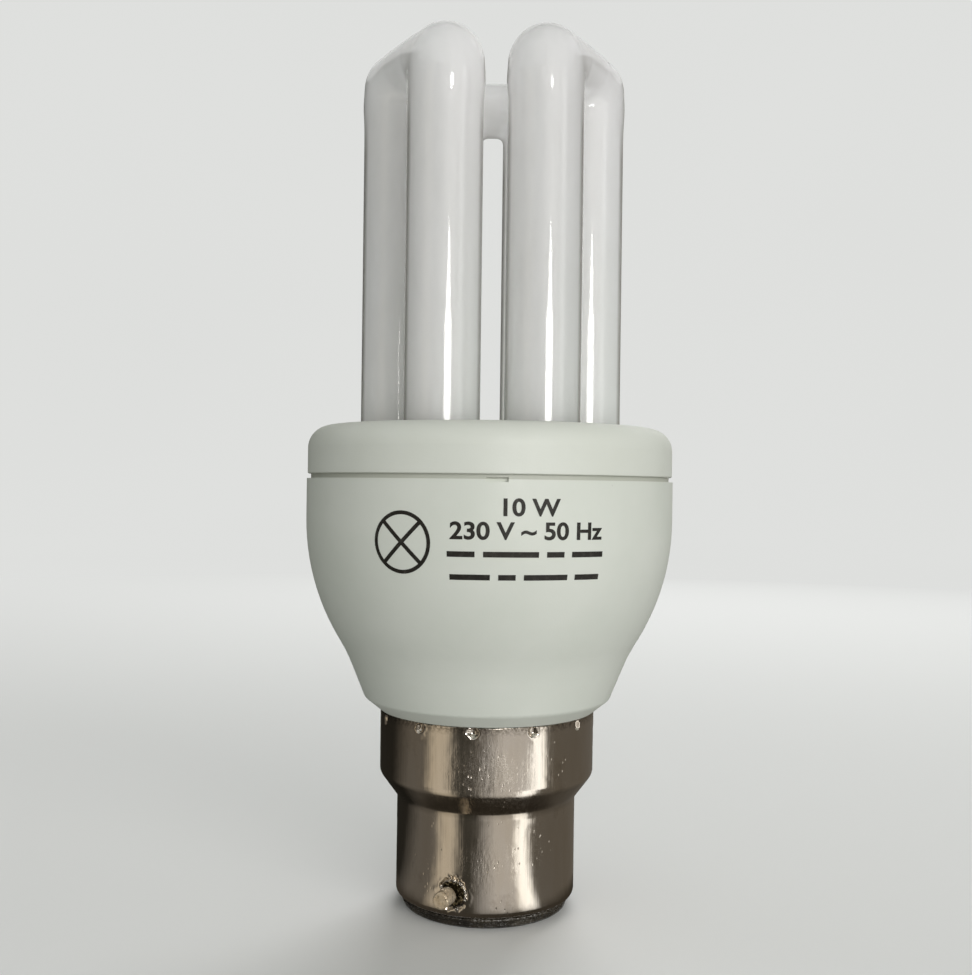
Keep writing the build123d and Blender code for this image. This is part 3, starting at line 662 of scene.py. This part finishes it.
def crimp_dents(turns, heights):
    """Depth of the punched dents under the rim: drop-shaped, each a little different."""
    chance = np.random.default_rng(11)
    depth = np.zeros(turns.shape)
    for index in range(CRIMP_COUNT):
        middle = radians(CRIMP_TURN + 360 / CRIMP_COUNT * index + chance.uniform(-0.6, 0.6))
        level = cap_rim - CRIMP_DROP + chance.uniform(-0.08, 0.05)
        across = turn_apart(turns, middle) * SKIRT_RADIUS / (CRIMP_RADIUS * chance.uniform(0.95, 1.2))
        up = heights - level
        up = np.where(up > 0, up / 0.75, up / 1.05) / chance.uniform(0.95, 1.1)
        away = np.sqrt(across**2 + (up / 0.8) ** 2)
        away += 0.3 * patchy(turns, heights, 150, 60, 41) + 0.16 * patchy(turns, heights, 420, 130, 42)
        depth += CRIMP_DEPTH * np.clip(1 - away**2, 0, 1) ** 0.9
        depth -= 0.03 * np.exp(-(((away - 1.3) / 0.3) ** 2))
    return depth


def pin_scars(turns, heights):
    """Depth of the torn, sunken metal round each pin."""
    depth = np.zeros(turns.shape)
    for seed, turn in ((21, PIN_TURN), (22, PIN_TURN + 180)):
        across = turn_apart(turns, radians(turn)) * BARREL_RADIUS - SCAR_ASIDE
        up = heights - PIN_HEIGHT - SCAR_RAISED
        ragged = 0.35 * patchy(turns, heights, 150, 50, seed)
        ragged += 0.25 * patchy(turns, heights, 300, 100, seed + 5)
        away = np.sqrt(across**2 + (up * 0.9) ** 2) + ragged
        inside = np.clip((SCAR_RADIUS - away) / 0.3, 0, 1)
        depth += inside * (SCAR_DEPTH + 0.2 * patchy(turns, heights, 420, 130, seed + 9))
        depth -= 0.04 * np.exp(-(((away - SCAR_RADIUS - 0.2) / 0.2) ** 2))
    return depth


def make_cap_shell(look):
    """The drawn cap with its wavy rim, punched dents, dings and torn metal round the pins."""
    corners = [
        (SKIRT_RADIUS, cap_rim, 0),
        (SKIRT_RADIUS, taper_top, TAPER_ROUNDING),
        (BARREL_RADIUS, taper_foot, TAPER_ROUNDING),
        (BARREL_RADIUS, cap_foot, LIP_ROUNDING),
        (BARREL_RADIUS - LIP_WIDTH, cap_foot, 0),
    ]
    outline = rounded_outline(corners, 14)
    length = np.linalg.norm(np.diff(outline, axis=0), axis=1).sum()
    places = np.concatenate([np.linspace(0, 2.2, 22, endpoint=False), np.linspace(2.2, length, 112)])
    rows, outwards = even_rows(outline, places)
    turns = np.arange(CAP_SEGMENTS) * 2 * pi / CAP_SEGMENTS
    turn_grid, row_grid = np.meshgrid(turns, np.arange(len(rows)))
    heights = rows[row_grid, 1]
    lift = 0.035 * patchy(turn_grid, heights, 11, 3, 1) + 0.012 * patchy(turn_grid, heights, 40, 9, 2)
    lift += 0.004 * patchy(turn_grid, heights, 170, 40, 3)
    lift -= crimp_dents(turn_grid, heights) + pin_scars(turn_grid, heights)
    lift *= np.clip((length - places[row_grid]) / 0.5, 0, 1)
    inside = np.clip(lift, None, CAP_OUTWARD_LIMIT)
    radius = rows[row_grid, 0] + outwards[row_grid, 0] * inside
    height = heights + outwards[row_grid, 1] * inside
    rim_wave = 0.08 + 0.05 * patchy(turn_grid, heights, 60, 3, 4)
    rim_wave += 0.04 * patchy(turn_grid, heights, 190, 3, 6)
    height -= rim_wave * np.clip(1 - places[row_grid] / 0.6, 0, 1)
    inner_rows = list(range(len(rows) - 1, -1, -6))
    if inner_rows[-1] != 0:
        inner_rows.append(0)
    inner_radius = radius[inner_rows] - CAP_SHEET * outwards[inner_rows, 0][:, None]
    inner_height = height[inner_rows] - CAP_SHEET * outwards[inner_rows, 1][:, None]
    inner_height[0] = height[inner_rows[0]] + CAP_SHEET
    radius = np.concatenate([radius, inner_radius])
    height = np.concatenate([height, inner_height])
    grid = np.stack([radius * np.cos(turns), radius * np.sin(turns), height], axis=-1)
    faces = round_strip_faces(len(grid), CAP_SEGMENTS)
    shell = mesh_piece("cap_sleeve", grid.reshape(-1, 3).tolist(), faces, look)
    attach(shell, "root")
    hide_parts("cap_shell")


def make_glass_bead(look):
    """Ragged run of black glass where the insulator meets the turned-in lip."""
    around = 12
    chance = np.random.default_rng(31)
    turns = np.arange(BEAD_SEGMENTS) * 2 * pi / BEAD_SEGMENTS
    waves = sum(
        size * np.sin(count * turns + chance.uniform(0, 2 * pi))
        for count, size in (
            (3, 0.05), (7, 0.05), (17, 0.04), (41, 0.04), (83, 0.035), (149, 0.03), (211, 0.02),
        )
    )
    thickness = BEAD_THICKNESS + waves
    middle = BARREL_RADIUS - LIP_WIDTH + 0.02
    points = []
    for step in range(around):
        turn = 2 * pi * step / around
        radius = middle + thickness * cos(turn)
        height = cap_foot - BEAD_DROP + 0.9 * thickness * sin(turn)
        points.append(np.stack([radius * np.cos(turns), radius * np.sin(turns), height], axis=-1))
    rings = np.array(points)
    faces = round_strip_faces(around, BEAD_SEGMENTS)
    bead = mesh_piece("glass_bead", rings.reshape(-1, 3).tolist(), faces, look)
    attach(bead, "root")


def ring_shape(middle, outer, inner, steps=48):
    """Flat ring as points and faces in the print's own plane."""
    points, faces = [], []
    for index in range(steps):
        turn = 2 * pi * index / steps
        for radius in (outer, inner):
            points.append((middle[0] + radius * cos(turn), middle[1] + radius * sin(turn)))
    for index in range(steps):
        after = (index + 1) % steps
        faces.append((2 * index, 2 * after, 2 * after + 1, 2 * index + 1))
    return points, faces


def bar_shape(middle, width, height, lean=0.0):
    """Flat bar as points and faces in the print's own plane, leant by an angle."""
    points = []
    for x, y in ((-1, -1), (1, -1), (1, 1), (-1, 1)):
        across, up = x * width / 2, y * height / 2
        points.append((
            middle[0] + across * cos(lean) - up * sin(lean),
            middle[1] + across * sin(lean) + up * cos(lean),
        ))
    return points, [(0, 1, 2, 3)]


def text_shape(words, middle, height):
    """Plain figures and units as points and faces in the print's own plane."""
    curve = bpy.data.curves.new("print_words", "FONT")
    curve.body = words
    curve.size = height * 1.38
    curve.align_x = "CENTER"
    curve.offset = 0.035 * height
    holder = bpy.data.objects.new("print_words", curve)
    mesh = bpy.data.meshes.new_from_object(holder)
    points = [(middle[0] + 1.12 * v.co.x, middle[1] + v.co.y - height / 2) for v in mesh.vertices]
    faces = [tuple(p.vertices) for p in mesh.polygons]
    bpy.data.objects.remove(holder)
    bpy.data.curves.remove(curve)
    bpy.data.meshes.remove(mesh)
    return points, faces


def make_print(look):
    """Printed marks wrapped on the bowl: a lamp symbol, its rating and plain bars."""
    shapes = [
        ring_shape(PRINT_SYMBOL, SYMBOL_OUTER, SYMBOL_INNER),
        bar_shape(PRINT_SYMBOL, *SYMBOL_STROKE, radians(45)),
        bar_shape(PRINT_SYMBOL, *SYMBOL_STROKE, radians(-45)),
        text_shape("10 W", (PRINT_MIDDLE, PRINT_LINES[0]), PRINT_LETTER),
        text_shape("230 V ~ 50 Hz", (PRINT_MIDDLE, PRINT_LINES[1]), PRINT_LETTER),
    ]
    for line, widths in BAR_ROWS:
        start = PRINT_MIDDLE - (sum(widths) + BAR_GAP * (len(widths) - 1)) / 2
        for width in widths:
            shapes.append(bar_shape((start + width / 2, PRINT_LINES[line]), width, BAR_HEIGHT))
            start += width + BAR_GAP
    shape = bmesh.new()
    for points, faces in shapes:
        corners = [shape.verts.new((x, y, 0)) for x, y in points]
        for face in faces:
            shape.faces.new([corners[index] for index in face])
    for cut in np.arange(*PRINT_CUTS):
        everything = shape.verts[:] + shape.edges[:] + shape.faces[:]
        bmesh.ops.bisect_plane(shape, geom=everything, plane_co=(cut, 0, 0), plane_no=(1, 0, 0))
    bowl = frame["nodes"]["lower_housing"].data
    surface = BVHTree.FromPolygons([v.co for v in bowl.vertices], [p.vertices for p in bowl.polygons])
    for vertex in shape.verts:
        turn = vertex.co.x / BOWL_RADIUS
        out = Vector((sin(turn), -cos(turn), 0))
        height = Vector((0, 0, vertex.co.y * MM))
        hit = surface.ray_cast(out * 2 * BOWL_RADIUS * MM + height, -out)[0]
        vertex.co = hit + out * PRINT_PROUD * MM
    mesh = bpy.data.meshes.new("rating_print")
    shape.to_mesh(mesh)
    shape.free()
    mesh.materials.append(look)
    marks = bpy.data.objects.new("rating_print", mesh)
    bpy.context.scene.collection.objects.link(marks)
    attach(marks, "root")


def stage_mesh(name, points, faces, look, shown=True):
    """Stage object that isn't part of the lamp; an unseen one shows only in reflections."""
    piece = mesh_piece(name, points, faces, look)
    if not shown:
        piece.visible_camera = False
        piece.visible_diffuse = False
        piece.visible_shadow = False
        piece.visible_transmission = False
        piece.visible_volume_scatter = False
    return piece


def glow_look(name, colour, strength):
    """Even light of one colour, for cards that show in reflections."""
    look = Look(name)
    glow = look.add("ShaderNodeEmission", {"Color": colour, "Strength": strength})
    look.feed(look.tree.nodes["Material Output"].inputs["Surface"], glow.outputs["Emission"])
    return look.material


def backdrop_look():
    """Matte pale paper: lit near the lamp, where the shadow falls, and an even pale tone further out."""
    look = Look("backdrop_look", Specular_IOR_Level=0.0, Roughness=0.9)
    far = look.span(look.from_axis(), 120.0 * MM, 520.0 * MM)
    rays = look.add("ShaderNodeLightPath").outputs
    seen = look.math("MAXIMUM", rays["Is Camera Ray"], rays["Is Glossy Ray"])
    seen = look.math("MAXIMUM", seen, rays["Is Transmission Ray"])
    cloud = look.noise(2.0, 2.0)
    tone = look.mix(cloud, paint(224, 225, 223), paint(221, 222, 220))
    glow = look.add("ShaderNodeEmission", {"Color": tone, "Strength": 1.0})
    blend = look.add("ShaderNodeMixShader", {"Fac": look.math("MULTIPLY", far, seen)})
    look.finish(look.mix(cloud, paint(232, 232, 230), paint(229, 229, 227)))
    look.feed(blend.inputs[1], look.shader.outputs["BSDF"])
    look.feed(blend.inputs[2], glow.outputs["Emission"])
    look.feed(look.tree.nodes["Material Output"].inputs["Surface"], blend.outputs["Shader"])
    return look.material


def make_backdrop():
    """Pale floor round the lamp that curves up into a wall on all sides."""
    segments, bend_steps = 96, 16
    profile = [(0.5, 0.0), (150.0, 0.0), (FLOOR_REACH, 0.0)]
    for step in range(1, bend_steps + 1):
        turn = pi / 2 * step / bend_steps
        profile.append((FLOOR_REACH + FLOOR_BEND * sin(turn), FLOOR_BEND * (1 - cos(turn))))
    profile.append((FLOOR_REACH + FLOOR_BEND, WALL_HEIGHT))
    points = [
        (radius * cos(2 * pi * index / segments), radius * sin(2 * pi * index / segments), z)
        for radius, z in profile
        for index in range(segments)
    ]
    faces = strip_faces(len(profile), segments, closed_ends=False)
    faces.append(tuple(range(segments)))
    backdrop = stage_mesh("backdrop", points, faces, backdrop_look())
    backdrop.visible_diffuse = False
    backdrop.visible_shadow = False


# What the metal mirrors: an even dim room with five things in it, set with round values so that the
# metal shows the photograph's main highlights. Each has its turn about the lamp from the viewer's side,
# near and far off, half its width and its soft edge, all in degrees, and its colour
ROOM_DIM = (0.14, 0.125, 0.105, 1.0)
ROOM_DARK = (0.05, 0.042, 0.032, 1.0)
DARK_DOORWAY = (-130.0, -130.0, 20.0, 28.0, (0.02, 0.018, 0.014, 1.0))
WARM_WALL = (-42.0, -47.0, 5.0, 12.0, (0.6, 0.52, 0.4, 1.0))
DARK_CUPBOARD = (-18.0, -22.0, 5.0, 10.0, (0.05, 0.045, 0.035, 1.0))
PALE_WALL = (22.0, 28.0, 12.0, 20.0, (0.6, 0.57, 0.53, 1.0))
BRIGHT_WINDOW = (40.0, 53.0, 4.0, 7.0, (1.7, 1.68, 1.62, 1.0))


def room_look():
    """Light and dark things round the lamp, as a room with dark furniture and a window shows in metal."""
    look = Look("room_look")
    x, y = look.split()[:2]
    turn = look.math("ARCTAN2", x, look.math("MULTIPLY", y, -1.0))
    across = look.from_axis()
    room = ROOM_DIM
    for near_turn, far_turn, half_width, edge, colour in (
        DARK_DOORWAY, WARM_WALL, DARK_CUPBOARD, PALE_WALL, BRIGHT_WINDOW,
    ):
        middle = look.span(across, 48.0 * MM, 70.0 * MM, radians(near_turn), radians(far_turn))
        away = look.math("ABSOLUTE", look.math("SUBTRACT", turn, middle))
        share = look.span(away, radians(half_width), radians(half_width + edge), 1.0, 0.0)
        room = look.mix(share, room, colour)
    near = look.span(across, 14.4 * MM, 17.8 * MM)
    glow = look.add("ShaderNodeEmission", {"Color": look.mix(near, ROOM_DARK, room), "Strength": 1.0})
    look.feed(look.tree.nodes["Material Output"].inputs["Surface"], glow.outputs["Emission"])
    return look.material


def make_room():
    """Low ring round the lamp that only reflections see: a strip of floor and a wall."""
    segments = 180
    profile = [(10.3, 0.08), (20.0, 0.08), (60.0, 0.08), (300.0, 0.08), (320.0, 20.0), (320.0, 240.0)]
    points = []
    for radius, z in profile:
        for index in range(segments):
            turn = 2 * pi * index / segments
            points.append((radius * cos(turn), radius * sin(turn), z))
    faces = strip_faces(len(profile), segments, closed_ends=False)
    stage_mesh("room_ring", points, faces, room_look(), shown=False)


def glow_card(name, azimuth, elevation, distance, outline, strength):
    """Bright card that only reflections see; outline is in millimetres on the card, x right and y up."""
    middle = Vector((0.0, 0.0, CAMERA_HEIGHT))
    out = Vector((sin(azimuth) * cos(elevation), -cos(azimuth) * cos(elevation), sin(elevation)))
    right = Vector((cos(azimuth), sin(azimuth), 0.0))
    up = right.cross(out) * -1
    points = [middle + out * distance + right * x + up * y for x, y in outline]
    look = glow_look(name + "_look", (1, 0.98, 0.95, 1), strength)
    stage_mesh(name, points, [tuple(range(len(points)))], look, shown=False)


# The window that draws the upright streaks on the glass
WINDOW_TURN = 16.0
WINDOW_DISTANCE = 300.0
WINDOW_STRENGTH = 15.0
WINDOW_OUTLINE = (
    (-52, 8), (52, 8), (52, 62), (32, 66), (26, 80), (10, 94), (-6, 98), (-20, 82), (-30, 66), (-52, 62),
)


def area_light(name, azimuth, elevation, distance, size, watts, colour):
    """Soft square lamp that lights the object but doesn't mirror in it."""
    data = bpy.data.lights.new(name, "AREA")
    data.shape = "SQUARE"
    data.size = size
    data.energy = watts
    data.color = colour
    light = bpy.data.objects.new(name, data)
    turn, lift = radians(azimuth), radians(elevation)
    back = Vector((sin(turn) * cos(lift), -cos(turn) * cos(lift), sin(lift)))
    light.location = Vector((0, 0, middle_height * MM)) + back * distance
    light.rotation_mode = "QUATERNION"
    light.rotation_quaternion = back.to_track_quat("Z", "Y")
    light.visible_glossy = False
    bpy.context.scene.collection.objects.link(light)


# Lamps: name, turn about the bulb and height in degrees, distance and size in metres, watts, colour
LAMPS = (
    ("key_light", 25.0, 13.0, 0.75, 0.7, 3.95, (1.0, 0.99, 0.985)),
    ("back_light", 165.0, 30.0, 0.8, 0.5, 4.5, (0.98, 0.99, 1.0)),
    ("side_light", -115.0, 20.0, 0.8, 0.5, 0.3, (1.0, 0.98, 0.95)),
)


def make_world():
    """Even pale surroundings."""
    world = bpy.data.worlds.new("studio")
    world.use_nodes = True
    shader = world.node_tree.nodes["Background"]
    shader.inputs["Color"].default_value = (0.97, 1.0, 0.96, 1.0)
    shader.inputs["Strength"].default_value = 0.29
    bpy.context.scene.world = world


def make_camera():
    """Camera where the photograph was taken from."""
    data = bpy.data.cameras.new("camera")
    data.sensor_width = SENSOR_MM
    data.lens = FOCAL_PIXELS / FRAME_HEIGHT_PIXELS * SENSOR_MM
    data.clip_start = 0.005
    data.clip_end = 20.0
    camera = bpy.data.objects.new("camera", data)
    camera.location = Vector((0.0, -CAMERA_DISTANCE, CAMERA_HEIGHT)) * MM
    camera.rotation_euler = (radians(90 + CAMERA_TILT), radians(-CAMERA_ROLL), radians(CAMERA_PAN))
    bpy.context.scene.collection.objects.link(camera)
    bpy.context.scene.camera = camera


bpy.context.scene.view_settings.view_transform = "Standard"
make_camera()
looks = make_looks()
dress_nodes(looks)
make_tubes(looks["phosphor_glass"])
make_cap_shell(looks["cap_metal"])
make_glass_bead(looks["black_glass"])
make_print(ink_look())
make_backdrop()
make_room()
glow_card("window_glow", radians(WINDOW_TURN), 0.0, WINDOW_DISTANCE, WINDOW_OUTLINE, WINDOW_STRENGTH)
for lamp in LAMPS:
    area_light(*lamp)
make_world()
